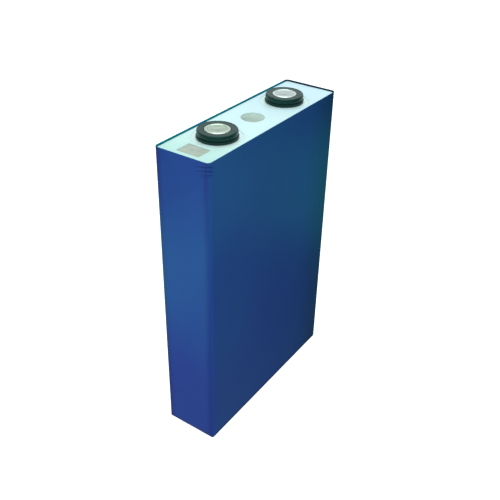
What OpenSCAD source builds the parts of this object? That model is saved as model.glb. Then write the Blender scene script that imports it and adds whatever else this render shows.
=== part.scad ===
// Prismatic lithium iron phosphate cell, 36 x 130 x 200 mm format, with every piece modelled.
// +X runs along the cell's length, towards the negative terminal. +Y is the cell's thickness.
// +Z is up. The origin is the centre of the underside of the blue wrap.

/* [Overall size] */
// Length of the wrapped cell, along X
cell_l = 130.3; // [129.5:0.1:150]
// Thickness of the wrapped cell, along Y
cell_t = 36.4; // [34:0.1:42]
// Height of the cover plate's upper face
cover_z = 196; // [120:1:230]
// Height of the terminal pads above the cover plate
pad_rise = 5; // [4.8:0.1:5.4]
// Radius of the wrapped cell's upright corners
corner_r = 2.4; // [1.8:0.1:2.4]
// Radius of the cell's bottom edges
base_r = 1.2; // [0.8:0.1:1.6]

/* [Wrap and sheet] */
// Thickness of one layer of the wrap
film_t = 0.12; // [0.1:0.01:0.15]
// Layers of wrap folded together under the can
film_layers = 3; // [1:1:3]
// How far the wrap stands above the cover plate
film_lip = 1.2; // [0.5:0.1:1.5]
// Thickness of the sheet on the cover plate
sheet_t = 0.3; // [0.2:0.05:0.4]
// Bare rim of the can round the sheet
sheet_inset = 0.9; // [0.1:0.1:1.2]
// Radius of the sheet's openings round the terminals
sheet_hole_r = 14.4; // [13:0.1:14.8]
// Length of the sheet's code window, along X
code_l = 10.8; // [8:0.1:11.5]
// Width of the sheet's code window, along Y
code_w = 15; // [8:0.1:16]
// Distance from the cell's end to the middle of the code window
code_inset = 9.7; // [8.6:0.1:10]
// How far the code window lies from the cell's middle plane, along Y
code_shift = 0.8; // [0:0.1:1]

/* [Can and cover] */
// Wall of the can on its wide sides
wide_wall = 0.6; // [0.5:0.05:0.7]
// Wall of the can on its narrow sides
narrow_wall = 0.8; // [0.6:0.05:0.9]
// Floor of the can
can_floor = 1.2; // [1:0.1:1.5]
// Thickness of the cover plate
cover_t = 2; // [1.8:0.1:2.2]
// Radius of the vent opening through the cover plate
vent_r = 5.6; // [4:0.1:5.8]
// Radius of the sheet's opening over the vent
vent_window_r = 7.1; // [7:0.1:8]
// Distance from the cell's middle to the filling hole
fill_x = 15; // [13:0.5:16]
// Radius of the filling hole
fill_r = 1.5; // [1:0.1:1.8]

/* [Terminals] */
// Distance between the two terminals
pole_pitch = 67.5; // [66:0.5:69]
// Radius of the collar's foot
collar_foot_r = 11.9; // [11.5:0.1:12.5]
// Radius of the collar's body
collar_r = 11.45; // [10.5:0.05:11.45]
// Height of the collar above the cover plate
collar_h = 4.8; // [4:0.1:4.8]
// Radius of the visible face of a terminal pad
pad_r = 7.25; // [6.8:0.05:8]
// Radius of the post's riveted head
rivet_r = 5.4; // [5:0.1:5.8]
// Radius of the post's shank
shank_r = 4; // [3:0.1:4.2]

/* [Cores] */
// Half turns in each electrode
half_turns = 22; // [16:2:24]
// Straight steps that make each round end of a winding
end_steps = 8; // [8:1:12]
// Foil leaves in each bundle of tabs
tab_leaves = 5; // [3:1:5]
// Width of a bundle of tabs
tab_w = 30; // [15:1:34]

/* [Hidden] */
$fn = 64;

// Small allowances
cut = 1;               // how far a cutter runs past the face it opens
sink = 0.2;            // how far two solids of one piece run into each other
gap = 0.1;             // gap left round pieces that drop in loose
contact = 0.01;        // gap between windings that lie on each other

// Wrap and can
film_base = film_t * film_layers;
can_l = cell_l - 2 * film_t;
can_t = cell_t - 2 * film_t;
can_r = corner_r - film_t;
bore_l = can_l - 2 * narrow_wall;
bore_t = can_t - 2 * wide_wall;
bore_r = can_r - narrow_wall;
bore_z = film_base + can_floor;
wrap_top = cover_z + film_lip;

// Cover plate and what sits in it
cover_under = cover_z - cover_t;
pole_x = pole_pitch / 2;
code_x = cell_l / 2 - code_inset;
code_r = 0.8;                   // corner radius of the code window
seal_r = shank_r + 1.5;         // the seal's sleeve, and the hole that it lines
vent_seat_r = vent_r + 1;       // recess that the vent disc is welded into
vent_seat_d = 0.7;
vent_rim_t = 0.4;               // thickness of the vent disc's rim
vent_skin_t = 0.2;              // thickness of its bursting skin
vent_skin_r = vent_r - 0.5;     // radius at which the skin meets the rim
score_w = 0.2;                  // scored groove: a ring and a cross inside it
score_d = 0.1;
score_r = vent_r - 0.9;
score_arm = vent_r - 1.4;
guard_t = 1.4;                  // slotted guard under the vent
guard_slot_w = 1.3;
guard_slot_pitch = 2.6;
guard_slot_land = 2.5;          // solid edge beyond the ends of its slots
guard_side_land = 3;            // how much narrower it is than the insulators, on each side
patch_t = 0.08;                 // thickness of the label and of the vent's film
patch_gap = 0.15;               // gap between them and the edge of their window
fill_head_r = fill_r + 1;
fill_cap_r = fill_r + 2;
fill_cap_t = 0.5;
fill_head_t = 0.6;
fill_stem_l = 1.9;

// Terminals, as heights above the cover plate
web_t = 1.2;                    // the collar's web under the pad
foot_t = 1.5;
foot_edge = 0.2;
neck_t = 0.6;                   // groove between the collar's foot and its body
neck_r = collar_r - 0.4;
collar_round = 0.6;
collar_bevel = 0.4;             // bevel round the pad
flange_r = pad_r + 1.75;        // the pad's buried flange
flange_t = 2;
rivet_t = 1.2;                  // depth of the riveted head's seat
rivet_drop = 0.15;              // how far the head lies below the pad's face
rivet_edge = 0.2;
rivet_bevel = 0.25;             // bevel round the seat
pad_bevel_w = 0.7;
pad_bevel_h = 0.3;
post_joint_z = cover_z + web_t; // where the negative post's copper meets its aluminium cap

// Inside the can, from the cover plate down
seal_flange_r = shank_r + 3.5;
seal_flange_t = 1.2;
post_flange_r = shank_r + 5;
post_flange_t = 1.6;
boss_r = 3.5;
insulator_t = 2.4;
insulator_from = 8.9;           // its two ends, from the cell's middle
insulator_to = bore_l / 2 - 0.5;
insulator_l = insulator_to - insulator_from;
insulator_x = (insulator_from + insulator_to) / 2;
insulator_w = bore_t - 0.6;
insulator_under = cover_under - insulator_t;
rail_w = 1.4;                   // rails along the insulator's long edges
rail_d = 2;
rail_l = insulator_l - 6;
leg_l = 1.6;                    // leg near the insulator's outer end
leg_w = insulator_w - 8;
leg_x = insulator_to - 3;
insulator_slot_l = 1.4;         // groups of slots near the insulator's outer end
insulator_slot_w = 7;
insulator_slot_pitch = 3;
insulator_slot_x = insulator_to - 10.5;
insulator_slot_y = 10.5;
fill_clear = 0.4;               // room round the filling hole
post_flange_top = cover_under - seal_flange_t;
collector_top = post_flange_top - post_flange_t;
collector_t = 1.2;
collector_under = collector_top - collector_t;
collector_l = 38;
collector_w = insulator_w - 2 * rail_w - 2.2;
collector_x = pole_x + 3;
collector_r = 2;
collector_slot_l = 1.6;         // locating slot at each end of the collector
collector_slot_w = 12;
collector_slot_x = collector_l / 2 - 2.6;
tape_t = 0.06;
weld_tape_l = tab_w + 4;
weld_tape_w = 6.4;
end_tape_l = 24;
end_tape_h = 30;
band_h = 12;                    // band round both cores
band_z = 18;                    // its height above the cores' feet

// Bag and support plate
plate_t = 1;
plate_play = 0.5;               // between the support plate's edge and the bag's
plate_slot_l = 8;
plate_slot_w = 3;
plate_slot_pitch = 13;
plate_slot_y = 8;
bag_t = 0.15;
bag_l = bore_l - 2 * gap;
bag_t_out = bore_t - 2 * gap;
bag_z = bore_z + plate_t + gap;
bag_top = collector_under - 3;
bag_bore_l = bag_l - 2 * bag_t;
bag_bore_t = bag_t_out - 2 * bag_t;

// Windings. Each core fills half of the bag's thickness, which sets the pitch of its turns:
// outwards come the inner separator, the cathode, the outer separator and the anode.
mandrel_r = 0.5;
separator_t = 0.04;
wrap_step = separator_t + contact;
core_play = 0.05;               // between the two cores
band_room = 0.25;               // for the tapes, between a core and the bag
inner_separator_r = mandrel_r + wrap_step / 2;
turn_pitch = (bag_bore_t / 2 - core_play - band_room - 2 * inner_separator_r
    - separator_t - 2 * wrap_step) / (half_turns + 1);
electrode_room = turn_pitch - 2 * separator_t - 6 * contact;
cathode_t = 0.56 * electrode_room;
anode_t = 0.44 * electrode_room;
cathode_r = inner_separator_r + separator_t / 2 + contact + cathode_t / 2;
outer_separator_r = cathode_r + cathode_t / 2 + contact + separator_t / 2;
anode_r = outer_separator_r + separator_t / 2 + contact + anode_t / 2;

// The separators outlast the electrodes and end on the core's outer face, one on the other
first_wrap_r = inner_separator_r + half_turns * turn_pitch / 2 + wrap_step;
second_wrap_r = first_wrap_r + wrap_step;
core_near = inner_separator_r + (half_turns / 2 + 1) * turn_pitch + separator_t / 2;
core_far = second_wrap_r + separator_t / 2;
core_end = core_near - turn_pitch / 2;
core_y = core_near + core_play; // distance from the cell's middle to each core's middle
core_straight = bag_bore_l / 2 - 0.7 - core_end;
core_z = bag_z + bag_t + gap;
separator_top = collector_under - 5.2;
anode_margin = 1;               // how far a separator stands past the anode
cathode_margin = 2;             // and past the cathode
first_wrap_x = -2;              // where each separator ends
second_wrap_x = 3;

// Tabs: a bundle rises from the core, bends over and lies flat under the collector
leaf_t = 0.1;
leaf_step = 0.2;
bend_r = 2;
bend_y = collector_w / 2 - bend_r - 0.9;
tab_end_y = bend_y - 7;
tab_rise = 1.1;                 // straight stretch above the separators
weld_tape_y = bend_y - 3.6;

module rounded_rect(l, w, r) {
    square([l - 2 * r, w], center = true);
    square([l, w - 2 * r], center = true);
    for (x = [-1, 1], y = [-1, 1])
        translate([x * (l / 2 - r), y * (w / 2 - r)]) circle(r);
}

// Outline of a side view, standing on its lower edge, with the two lower corners rounded
module footed_rect(l, h, r) {
    translate([-l / 2, r]) square([l, h - r]);
    translate([-l / 2 + r, 0]) square([l - 2 * r, h]);
    for (x = [-1, 1]) translate([x * (l / 2 - r), r]) circle(r);
}

// Block with round upright corners and round lower edges
module footed_block(l, w, h, r, foot) {
    intersection() {
        linear_extrude(h) rounded_rect(l, w, r);
        rotate([90, 0, 0]) linear_extrude(w + cut, center = true) footed_rect(l, h, foot);
        rotate([90, 0, 90]) linear_extrude(l + cut, center = true) footed_rect(w, h, foot);
    }
}

module plate(l, w, h, r) {
    linear_extrude(h) rounded_rect(l, w, r);
}

module ring(r_out, r_in, h) {
    difference() {
        cylinder(r = r_out, h = h);
        translate([0, 0, -cut]) cylinder(r = r_in, h = h + 2 * cut);
    }
}

// ---- Wrap, sheet, can and cover ----

module wrap_film() {
    color("royalblue") difference() {
        footed_block(cell_l, cell_t, wrap_top, corner_r, base_r + film_t);
        translate([0, 0, film_base])
            footed_block(can_l, can_t, wrap_top, can_r, base_r);
    }
}

module can() {
    color("silver") difference() {
        translate([0, 0, film_base])
            footed_block(can_l, can_t, cover_z - film_base, can_r, base_r);
        translate([0, 0, bore_z]) plate(bore_l, bore_t, cover_z, bore_r);
    }
}

module cover_plate() {
    color("gainsboro") difference() {
        translate([0, 0, cover_under]) plate(bore_l, bore_t, cover_t, bore_r);
        for (side = [-1, 1])
            translate([side * pole_x, 0, cover_under - cut])
                cylinder(r = seal_r, h = cover_t + 2 * cut);
        translate([0, 0, cover_under - cut]) cylinder(r = vent_r, h = cover_t + 2 * cut);
        translate([0, 0, cover_z - vent_seat_d]) cylinder(r = vent_seat_r, h = cut + vent_seat_d);
        translate([fill_x, 0, cover_under - cut]) cylinder(r = fill_r, h = cover_t + 2 * cut);
        translate([fill_x, 0, cover_z - fill_cap_t - fill_head_t])
            cylinder(r = fill_head_r, h = fill_head_t + fill_cap_t + cut);
        translate([fill_x, 0, cover_z - fill_cap_t]) cylinder(r = fill_cap_r, h = fill_cap_t + cut);
    }
}

module top_sheet() {
    sheet_l = can_l - 2 * sheet_inset;
    sheet_w = can_t - 2 * sheet_inset;
    color("azure") difference() {
        translate([0, 0, cover_z]) plate(sheet_l, sheet_w, sheet_t, can_r - sheet_inset);
        for (side = [-1, 1])
            translate([side * pole_x, 0, cover_z - cut])
                cylinder(r = sheet_hole_r, h = sheet_t + 2 * cut);
        translate([0, 0, cover_z - cut]) cylinder(r = vent_window_r, h = sheet_t + 2 * cut);
        translate([-code_x, -code_shift, cover_z - cut])
            plate(code_l, code_w, sheet_t + 2 * cut, code_r);
    }
}

module code_label() {
    color("darkgray") translate([-code_x, -code_shift, cover_z])
        plate(code_l - 2 * patch_gap, code_w - 2 * patch_gap, patch_t, code_r - patch_gap);
}

// ---- Vent and filling hole ----

module vent_disc() {
    seat_z = cover_z - vent_seat_d;
    color("lightgray") translate([0, 0, seat_z]) difference() {
        union() {
            ring(vent_seat_r, vent_skin_r - sink / 2, vent_rim_t);
            cylinder(r = vent_skin_r, h = vent_skin_t);
        }
        translate([0, 0, vent_skin_t - score_d])
            ring(score_r, score_r - score_w, vent_rim_t);
        for (a = [0, 90])
            rotate([0, 0, a]) translate([0, 0, vent_skin_t])
                cube([2 * score_arm, score_w, 2 * score_d], center = true);
    }
}

module vent_film() {
    color("honeydew") translate([0, 0, cover_z])
        cylinder(r = vent_window_r - patch_gap, h = patch_t);
}

// Slotted guard that keeps the cores off the vent and lets gas through
module vent_guard() {
    guard_l = 2 * (insulator_from - gap);
    guard_w = insulator_w - 2 * guard_side_land;
    slot_l = guard_l - 2 * guard_slot_land;
    slot_r = 0.49 * guard_slot_w;
    color("ivory") difference() {
        translate([0, 0, cover_under - guard_t]) plate(guard_l, guard_w, guard_t, 1);
        for (row = [-4:4])
            translate([0, row * guard_slot_pitch, cover_under - guard_t - cut])
                plate(slot_l, guard_slot_w, guard_t + 2 * cut, slot_r);
    }
}

module fill_plug() {
    head_z = cover_z - fill_cap_t - fill_head_t;
    color("dimgray") translate([fill_x, 0, head_z]) {
        cylinder(r = fill_head_r, h = fill_head_t);
        translate([0, 0, -fill_stem_l]) cylinder(r = fill_r, h = fill_stem_l);
    }
}

module fill_seal_disc() {
    color("lightgray") translate([fill_x, 0, cover_z - fill_cap_t])
        cylinder(r = fill_cap_r, h = fill_cap_t);
}

// ---- Terminals ----

// Half section of a cutter that bevels the mouth of a hole by the same amount both ways
module mouth_bevel(hole_r, mouth_z, size) {
    polygon([
        [hole_r - cut, mouth_z - size], [hole_r, mouth_z - size],
        [hole_r + size + cut, mouth_z + cut], [hole_r - cut, mouth_z + cut],
    ]);
}

// Moulded collar: a foot, a shallow neck and a body with a round upper edge,
// closed over the pad's flange and open in the middle for the seal
module collar(side) {
    edge = collar_round;
    color("darkslategray") translate([side * pole_x, 0, cover_z]) rotate_extrude() difference() {
        union() {
            square([collar_foot_r - foot_edge, foot_t]);
            translate([0, foot_edge]) square([collar_foot_r, foot_t - 2 * foot_edge]);
            square([neck_r, foot_t + neck_t + cut]);
            translate([0, foot_t + neck_t])
                square([collar_r, collar_h - foot_t - neck_t - edge]);
            square([collar_r - edge, collar_h]);
            translate([collar_r - edge, collar_h - edge]) circle(edge);
        }
        translate([-cut, -cut]) square([seal_r + cut, web_t + 2 * cut]);
        translate([-cut, web_t]) square([flange_r + cut, flange_t]);
        translate([-cut, web_t]) square([pad_r + cut, collar_h]);
        mouth_bevel(pad_r, collar_h, collar_bevel);
    }
}

module positive_collar() collar(-1);
module negative_collar() collar(1);

// Terminal pad: a busbar is welded to its upper face. Its flange is moulded into the collar.
module pad(side) {
    color("whitesmoke") translate([side * pole_x, 0, cover_z]) rotate_extrude() difference() {
        union() {
            translate([0, web_t]) square([flange_r, flange_t]);
            translate([0, web_t]) square([pad_r, pad_rise - web_t - pad_bevel_h]);
            polygon([
                [0, pad_rise - pad_bevel_h], [pad_r, pad_rise - pad_bevel_h],
                [pad_r - pad_bevel_w, pad_rise], [0, pad_rise],
            ]);
        }
        translate([-cut, -cut]) square([shank_r + cut, pad_rise + 2 * cut]);
        translate([-cut, pad_rise - rivet_t]) square([rivet_r + cut, rivet_t + cut]);
        mouth_bevel(rivet_r, pad_rise, rivet_bevel);
    }
}

module positive_pad() pad(-1);
module negative_pad() pad(1);

// Shank that runs from below the cover plate up to the top of the pad
module shank(side, from_z, to_z) {
    translate([side * pole_x, 0, from_z]) cylinder(r = shank_r, h = to_z - from_z);
}

module rivet_head(side) {
    head_t = rivet_t - rivet_drop;
    translate([side * pole_x, 0, cover_z + pad_rise - rivet_t]) {
        cylinder(r = rivet_r, h = head_t - rivet_edge);
        translate([0, 0, head_t - rivet_edge])
            cylinder(r1 = rivet_r, r2 = rivet_r - rivet_edge, h = rivet_edge);
    }
}

// Flange inside the can, with the boss that is welded into the collector
module post_foot(side) {
    translate([side * pole_x, 0, collector_top])
        cylinder(r = post_flange_r, h = post_flange_t);
    translate([side * pole_x, 0, collector_under])
        cylinder(r = boss_r, h = collector_t);
}

module positive_post() {
    color("silver") {
        post_foot(-1);
        shank(-1, post_flange_top, cover_z + pad_rise - rivet_t);
        rivet_head(-1);
    }
}

// The negative post is copper up to the pad, with an aluminium cap that is friction-welded on
module negative_post() {
    color("peru") {
        post_foot(1);
        shank(1, post_flange_top, post_joint_z);
    }
}

module negative_post_cap() {
    color("silver") {
        shank(1, post_joint_z, cover_z + pad_rise - rivet_t);
        rivet_head(1);
    }
}

// Seal: a sleeve through the cover and the collar's web, with a flange under the cover
module seal(side) {
    color("saddlebrown") translate([side * pole_x, 0, 0]) {
        translate([0, 0, cover_under])
            ring(seal_r, shank_r, cover_t + web_t);
        translate([0, 0, cover_under - seal_flange_t])
            ring(seal_flange_r, shank_r, seal_flange_t);
    }
}

module positive_seal() seal(-1);
module negative_seal() seal(1);

// ---- Insulators and collectors ----

// Plate under the cover, with rails along its long edges and a leg that holds the cores down
module lower_insulator(side) {
    leg_z = separator_top + gap;
    color("ivory") difference() {
        union() {
            translate([side * insulator_x, 0, insulator_under])
                plate(insulator_l, insulator_w, insulator_t, 0.8);
            for (y = [-1, 1])
                translate([
                    side * insulator_x, y * (insulator_w - rail_w) / 2, insulator_under - rail_d,
                ])
                    plate(rail_l, rail_w, rail_d + sink, 0.3);
            translate([side * leg_x, 0, leg_z])
                plate(leg_l, leg_w, insulator_under + sink - leg_z, 0.4);
        }
        translate([side * pole_x, 0, insulator_under - cut])
            cylinder(r = seal_flange_r, h = insulator_t + 2 * cut);
        translate([side * pole_x, 0, insulator_under - cut])
            cylinder(r = post_flange_r + gap, h = post_flange_top - insulator_under + cut);
        translate([side * fill_x, 0, insulator_under - cut])
            cylinder(r = fill_r + fill_clear, h = insulator_t + 2 * cut);
        for (y = [-1, 1], step = [-1:1])
            translate([
                side * (insulator_slot_x + step * insulator_slot_pitch), y * insulator_slot_y,
                insulator_under - cut,
            ])
                plate(insulator_slot_l, insulator_slot_w, insulator_t + 2 * cut, 0.6);
    }
}

module positive_lower_insulator() lower_insulator(-1);
module negative_lower_insulator() lower_insulator(1);

// Flat collector: the post's boss is welded into its hole and the tabs to its underside
module collector(side) {
    translate([side * collector_x, 0, collector_under]) difference() {
        plate(collector_l, collector_w, collector_t, collector_r);
        translate([side * (pole_x - collector_x), 0, -cut])
            cylinder(r = boss_r, h = collector_t + 2 * cut);
        for (x = [-1, 1])
            translate([x * collector_slot_x, 0, -cut])
                plate(collector_slot_l, collector_slot_w, collector_t + 2 * cut, 0.7);
    }
}

module positive_collector() color("silver") collector(-1);
module negative_collector() color("peru") collector(1);

// Two strips of tape over the welds between a collector and its tabs
module weld_tape(side) {
    tape_z = collector_under - tab_leaves * leaf_step - 2 * tape_t;
    color("gold") for (y = [-1, 1])
        translate([side * pole_x, y * weld_tape_y, tape_z])
            plate(weld_tape_l, weld_tape_w, tape_t, 0.5);
}

module positive_weld_tape() weld_tape(-1);
module negative_weld_tape() weld_tape(1);

// ---- Tabs ----

function unit(v) = v / norm(v);
function left_of(v) = [-v.y, v.x];

// Closed outline of a strip of even thickness whose middle follows a line of points
function strip(line, t) = let(
    last = len(line) - 1,
    along = [for (i = [0:last - 1]) left_of(unit(line[i + 1] - line[i]))],
    normals = [for (i = [0:last]) let(
            a = along[max(i - 1, 0)],
            b = along[min(i, last - 1)]
        ) unit(a + b) / (unit(a + b) * b)]
) concat(
    [for (i = [0:last]) line[i] + normals[i] * t / 2],
    [for (i = [last:-1:0]) line[i] - normals[i] * t / 2]
);

// A leaf starts on its own winding, joins the bundle, bends inwards and lies under the collector.
// Written for the back core, in Y and Z, with leaf 0 the outermost.
function leaf_line(leaf, root_y, root_z) = let(
    r = bend_r - leaf * leaf_step,
    centre = [bend_y, collector_under - bend_r - leaf_step / 2]
) concat(
    [[root_y, root_z], [root_y, separator_top + tab_rise]],
    [for (a = [0:15:90]) centre + r * [cos(a), sin(a)]],
    [[tab_end_y, centre.y + r]]
);

// Winding that a leaf starts on, spread evenly over the core, counted from its middle
function leaf_turn(leaf) = floor((half_turns / 2 - 2) * (tab_leaves - leaf) / tab_leaves);

module place_core(back) {
    mirror([0, back ? 0 : 1, 0]) children();
}

module tabs(side, back, sheet_r, margin) {
    root_z = separator_top - margin;
    place_core(back) translate([side * pole_x - tab_w / 2, 0, 0])
        for (leaf = [0:tab_leaves - 1]) {
            root_y = core_y + sheet_r + leaf_turn(leaf) * turn_pitch;
            rotate([90, 0, 90]) linear_extrude(tab_w)
                polygon(strip(leaf_line(leaf, root_y, root_z), leaf_t));
        }
}

module cathode_tabs(back) color("silver") tabs(-1, back, cathode_r, cathode_margin);
module anode_tabs(back) color("peru") tabs(1, back, anode_r, anode_margin);

module positive_tabs_front() cathode_tabs(false);
module positive_tabs_back() cathode_tabs(true);
module negative_tabs_front() anode_tabs(false);
module negative_tabs_back() anode_tabs(true);

// ---- Wound cores ----

// Half turn k of a flat winding: even ones bend round the +X end, odd ones round the -X end
function half_turn(k, r) = let(
    even = k % 2 == 0,
    centre = [even ? core_straight : -core_straight, even ? 0 : -turn_pitch / 2],
    from = even ? -90 : 90
) [for (i = [0:end_steps]) centre + r * [
    cos(from + 180 * i / end_steps), sin(from + 180 * i / end_steps)
]];

function winding_line(r, turns) = [
    for (k = [0:turns - 1]) each half_turn(k, r + k * turn_pitch / 2)
];

// Separator: its own turns, then one last half turn that lies tight and ends on the outer face
function separator_line(r, turns, last_r, end_x) = concat(
    winding_line(r, turns), half_turn(turns, last_r), [[end_x, last_r]]
);

function reversed(v) = [for (i = [len(v) - 1:-1:0]) v[i]];

// One wound sheet, between the lines of its outer and its inner face. The front core is
// the back one turned over, so both wind outwards the same way.
module wound_sheet(back, outer_face, inner_face, margin) {
    place_core(back) translate([0, core_y, core_z + margin])
        linear_extrude(separator_top - core_z - 2 * margin)
            polygon(concat(outer_face, reversed(inner_face)));
}

module electrode(back, r, t, margin) {
    wound_sheet(back, winding_line(r + t / 2, half_turns),
                winding_line(r - t / 2, half_turns), margin);
}

module cathode(back) color("dimgray") electrode(back, cathode_r, cathode_t, cathode_margin);
module anode(back) color("darkgoldenrod") electrode(back, anode_r, anode_t, anode_margin);

module inner_separator(back) {
    s = separator_t / 2;
    color("white") wound_sheet(back,
        separator_line(inner_separator_r + s, half_turns + 2, second_wrap_r + s, second_wrap_x),
        separator_line(inner_separator_r - s, half_turns + 2, second_wrap_r - s, second_wrap_x),
        0);
}

module outer_separator(back) {
    s = separator_t / 2;
    color("white") wound_sheet(back,
        separator_line(outer_separator_r + s, half_turns, first_wrap_r + s, first_wrap_x),
        separator_line(outer_separator_r - s, half_turns, first_wrap_r - s, first_wrap_x),
        0);
}

// Short strips that hold down the ends of the separators
module end_tape(back) {
    tape_y = core_y + core_far + contact + tape_t / 2;
    core_h = separator_top - core_z;
    color("seagreen") place_core(back) for (level = [0.2, 0.5, 0.8])
        translate([0, tape_y, core_z + level * core_h - end_tape_h / 2])
            linear_extrude(end_tape_h) square([end_tape_l, tape_t], center = true);
}

module front_cathode() cathode(false);
module front_anode() anode(false);
module front_inner_separator() inner_separator(false);
module front_outer_separator() outer_separator(false);
module front_end_tape() end_tape(false);
module back_cathode() cathode(true);
module back_anode() anode(true);
module back_inner_separator() inner_separator(true);
module back_outer_separator() outer_separator(true);
module back_end_tape() end_tape(true);

// Band of tape round both cores, near their foot
module core_band() {
    inner_l = 2 * (core_straight + core_end + 2 * gap);
    inner_w = 2 * (core_y + core_far + tape_t + 2 * contact);
    corner = core_end - 1.3;
    color("mediumseagreen") translate([0, 0, core_z + band_z]) difference() {
        plate(inner_l + 2 * tape_t, inner_w + 2 * tape_t, band_h, corner + tape_t);
        translate([0, 0, -cut]) plate(inner_l, inner_w, band_h + 2 * cut, corner);
    }
}

// ---- Bag and support plate ----

module insulation_bag() {
    color("lightcyan") difference() {
        translate([0, 0, bag_z]) plate(bag_l, bag_t_out, bag_top - bag_z, bore_r);
        translate([0, 0, bag_z + bag_t])
            plate(bag_bore_l, bag_bore_t, bag_top, bore_r - bag_t);
    }
}

module support_plate() {
    color("snow") translate([0, 0, bore_z]) difference() {
        plate(bag_l - 2 * plate_play, bag_t_out - 2 * plate_play, plate_t, bore_r);
        for (column = [-4:4], row = [-1, 1])
            translate([column * plate_slot_pitch, row * plate_slot_y, -cut])
                plate(plate_slot_l, plate_slot_w, plate_t + 2 * cut, 1.4);
    }
}

wrap_film();
top_sheet();
code_label();
can();
cover_plate();
vent_disc();
vent_film();
vent_guard();
fill_plug();
fill_seal_disc();
positive_collar();
positive_pad();
positive_post();
positive_seal();
negative_collar();
negative_pad();
negative_post();
negative_post_cap();
negative_seal();
positive_lower_insulator();
negative_lower_insulator();
positive_collector();
negative_collector();
positive_tabs_front();
positive_tabs_back();
negative_tabs_front();
negative_tabs_back();
positive_weld_tape();
negative_weld_tape();
front_cathode();
front_anode();
front_inner_separator();
front_outer_separator();
back_cathode();
back_anode();
back_inner_separator();
back_outer_separator();
front_end_tape();
back_end_tape();
core_band();
insulation_bag();
support_plate();
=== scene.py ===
import math

import bpy
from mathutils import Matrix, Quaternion, Vector, geometry, noise


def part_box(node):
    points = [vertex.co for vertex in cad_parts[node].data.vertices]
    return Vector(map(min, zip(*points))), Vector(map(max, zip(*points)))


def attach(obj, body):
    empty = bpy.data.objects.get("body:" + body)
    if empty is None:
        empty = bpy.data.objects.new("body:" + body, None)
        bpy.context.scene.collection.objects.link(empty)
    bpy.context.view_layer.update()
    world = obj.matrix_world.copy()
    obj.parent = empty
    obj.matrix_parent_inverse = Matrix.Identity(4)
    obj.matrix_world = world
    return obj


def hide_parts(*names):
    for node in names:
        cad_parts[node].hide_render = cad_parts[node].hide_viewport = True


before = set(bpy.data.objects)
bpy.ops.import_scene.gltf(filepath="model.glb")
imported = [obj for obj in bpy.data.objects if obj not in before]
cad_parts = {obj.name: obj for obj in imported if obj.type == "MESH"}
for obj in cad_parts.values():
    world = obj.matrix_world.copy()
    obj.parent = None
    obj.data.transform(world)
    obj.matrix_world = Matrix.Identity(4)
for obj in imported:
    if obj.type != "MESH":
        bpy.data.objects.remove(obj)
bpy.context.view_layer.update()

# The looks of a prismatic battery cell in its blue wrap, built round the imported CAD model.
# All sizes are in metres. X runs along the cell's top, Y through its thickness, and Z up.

MM = 0.001

# ---------------------------------------------------------------- Sizes that come from the frame

FILM_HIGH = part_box("wrap_film")[1]
CAN_LOW, CAN_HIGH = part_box("can")
SHEET_LOW, SHEET_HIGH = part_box("top_sheet")
LABEL_LOW, LABEL_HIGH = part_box("code_label")
VENT_LOW, VENT_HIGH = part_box("vent_film")

HALF_L = FILM_HIGH.x
HALF_T = FILM_HIGH.y
FILM_TOP = FILM_HIGH.z           # the wrap's free edge
COVER_Z = CAN_HIGH.z             # top of the can and of its cover plate
FILM_T = FILM_HIGH.x - CAN_HIGH.x
FILM_LAYER = CAN_LOW.z / 3       # one of the three layers of film under the can
CORNER_R = 2.4 * MM              # upright corners
FOOT_R = 1.32 * MM               # bend of the film under the can

# ---------------------------------------------------------------- Mesh helpers

SHEET_WAVE_SCALE = 45            # waves of the thin sheets, in repeats per metre
SHEET_WAVE_LEVEL = 0.6           # noise above this level leaves a sheet flat


def mesh_piece(name, points, faces, looks, sharp_angle=35, face_looks=None):
    """A mesh object with smooth shading, and sharp edges where the surface turns quickly."""
    mesh = bpy.data.meshes.new(name)
    mesh.from_pydata(points, [], faces)
    for look in looks:
        mesh.materials.append(look)
    if face_looks:
        mesh.polygons.foreach_set("material_index", face_looks)
    mesh.validate()
    mesh.shade_smooth()
    mesh.set_sharp_from_angle(angle=math.radians(sharp_angle))
    piece = bpy.data.objects.new(name, mesh)
    bpy.context.scene.collection.objects.link(piece)
    return piece


def stand_for(piece, slot, *nodes):
    """The piece rides on the cell, and replaces its CAD nodes."""
    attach(piece, "root")
    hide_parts(*nodes)


def arc(centre, radius, start, end, steps):
    """Points on an arc, as (radius, height) or (x, y) pairs. Angles are in degrees."""
    angles = [math.radians(start + (end - start) * i / steps) for i in range(steps + 1)]
    return [(centre[0] + radius * math.cos(a), centre[1] + radius * math.sin(a)) for a in angles]


def lathe(name, profile, centre, look, steps=128, sharp_angle=25):
    """Turns a (radius, height) profile round a vertical axis. A radius of 0 is one point."""
    points, faces, rings = [], [], []
    for radius, height in profile:
        count = 1 if radius == 0 else steps
        rings.append(range(len(points), len(points) + count))
        for i in range(count):
            turn = math.tau * i / steps
            points.append((centre.x + radius * math.cos(turn), centre.y + radius * math.sin(turn), height))
    for low, high in zip(rings, rings[1:]):
        for i in range(steps):
            j = (i + 1) % steps
            if len(low) == 1:
                faces.append((low[0], high[j], high[i]))
            elif len(high) == 1:
                faces.append((low[i], low[j], high[0]))
            else:
                faces.append((low[i], low[j], high[j], high[i]))
    return mesh_piece(name, points, faces, [look], sharp_angle)


# A loop is a function that gives a closed outline's points, drawn in by an inset.


def circle_loop(centre, radius, steps=96):
    def loop(inset=0.0):
        return arc(centre, radius - inset, 0, 360 - 360 / steps, steps - 1)
    return loop


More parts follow.
